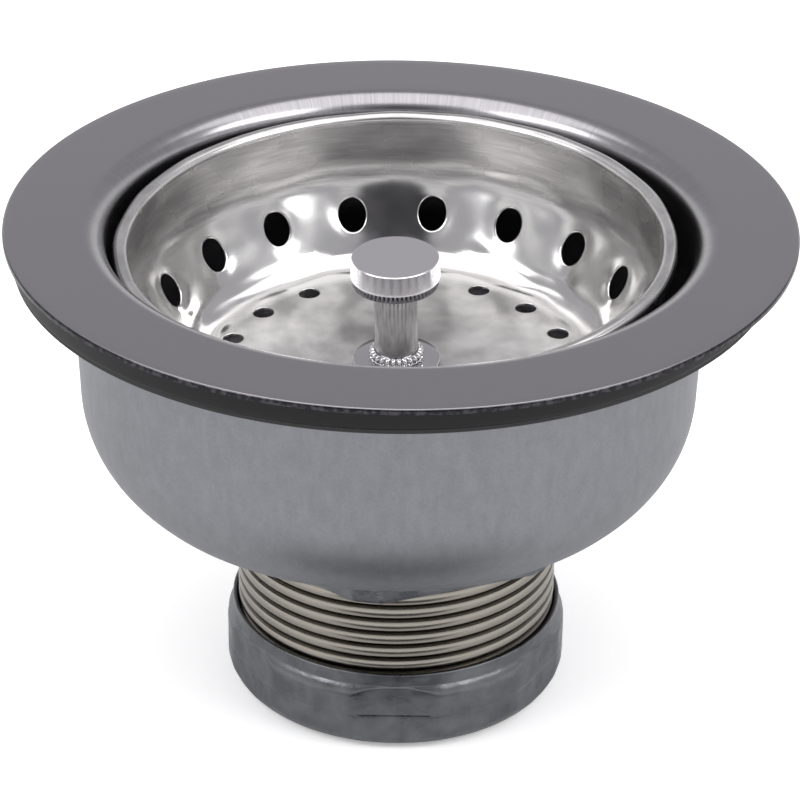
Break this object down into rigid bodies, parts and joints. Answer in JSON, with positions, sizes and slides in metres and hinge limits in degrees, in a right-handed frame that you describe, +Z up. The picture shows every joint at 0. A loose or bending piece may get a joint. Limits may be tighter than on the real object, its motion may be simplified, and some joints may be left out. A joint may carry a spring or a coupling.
{
  "type": "basket strainer waste",
  "caption": "Kitchen sink basket strainer waste: flanged bowl with a lift-out perforated basket, outer cup, locknut and threaded outlet with a coupling nut.",
  "frame": {"origin": "centre of the coupling nut's lower face, on which the part stands", "axes": "+Z up along the outlet's axis to the sink flange; +X to the right and +Y away from the viewer of the picture"},
  "size_m": [0.1142, 0.1142, 0.075],
  "materials": {
    "drawn_stainless": "satin drawn stainless steel",
    "basket_stainless": "bright brushed stainless steel",
    "nickel_brass": "nickel-plated brass, cut thread",
    "galvanised_steel": "galvanised drawn steel",
    "cast_zinc": "rough die-cast zinc",
    "bright_chrome": "polished turned post",
    "plated_steel": "zinc-plated steel",
    "black_rubber": "moulded black rubber",
    "fibre_ring": "pressed fibre",
    "white_washer": "moulded polyethylene",
    "nylon": "moulded nylon"
  },
  "bodies": {
    "strainer": {"strainer_body": "drawn_stainless", "outlet_stub": "nickel_brass", "crosspiece": "nickel_brass"},
    "lift": {"snap_tip": "nylon"},
    "basket_group": {"basket": "basket_stainless", "post": "bright_chrome", "knob": "bright_chrome", "post_collar": "bright_chrome", "post_washer": "bright_chrome", "stopper_backing": "plated_steel", "stopper": "black_rubber", "stopper_washer": "plated_steel", "post_nut": "plated_steel"},
    "cup_group": {"outer_cup": "galvanised_steel", "friction_ring": "fibre_ring", "sink_gasket": "black_rubber"},
    "locknut_turning": {"locknut": "cast_zinc"},
    "washer_group": {"tail_washer": "white_washer"},
    "coupling_nut_turning": {"coupling_nut": "cast_zinc"}
  },
  "joints": [
    {"name": "basket_lift", "type": "slide", "parent": "strainer", "child": "lift", "axis": [0, 0, 1], "range_m": [-0.002, 0.06]},
    {"name": "basket_turn", "type": "hinge", "parent": "lift", "child": "basket_group", "pos_m": [0, 0, 0.034], "axis": [-0.0218, -0.0394, 0.999], "continuous": true},
    {"name": "cup_drop", "type": "slide", "parent": "strainer", "child": "cup_group", "axis": [0, 0, 1], "range_m": [-0.0098, 0]},
    {"name": "locknut_turn", "type": "hinge", "parent": "cup_group", "child": "locknut_turning", "pos_m": [0, 0, 0.029], "axis": [0, 0, 1], "range_deg": [-1580, 0]},
    {"name": "washer_drop", "type": "slide", "parent": "strainer", "child": "washer_group", "axis": [0, 0, 1], "range_m": [-0.0093, 0]},
    {"name": "coupling_nut_turn", "type": "hinge", "parent": "washer_group", "child": "coupling_nut_turning", "pos_m": [0, 0, 0.0065], "axis": [0, 0, 1], "range_deg": [-1500, 0]}
  ],
  "couplings": [
    {"joint": "cup_drop", "follows": "locknut_turn", "m_per_rad": 0.00035152},
    {"joint": "washer_drop", "follows": "coupling_nut_turn", "m_per_rad": 0.00035152}
  ]
}
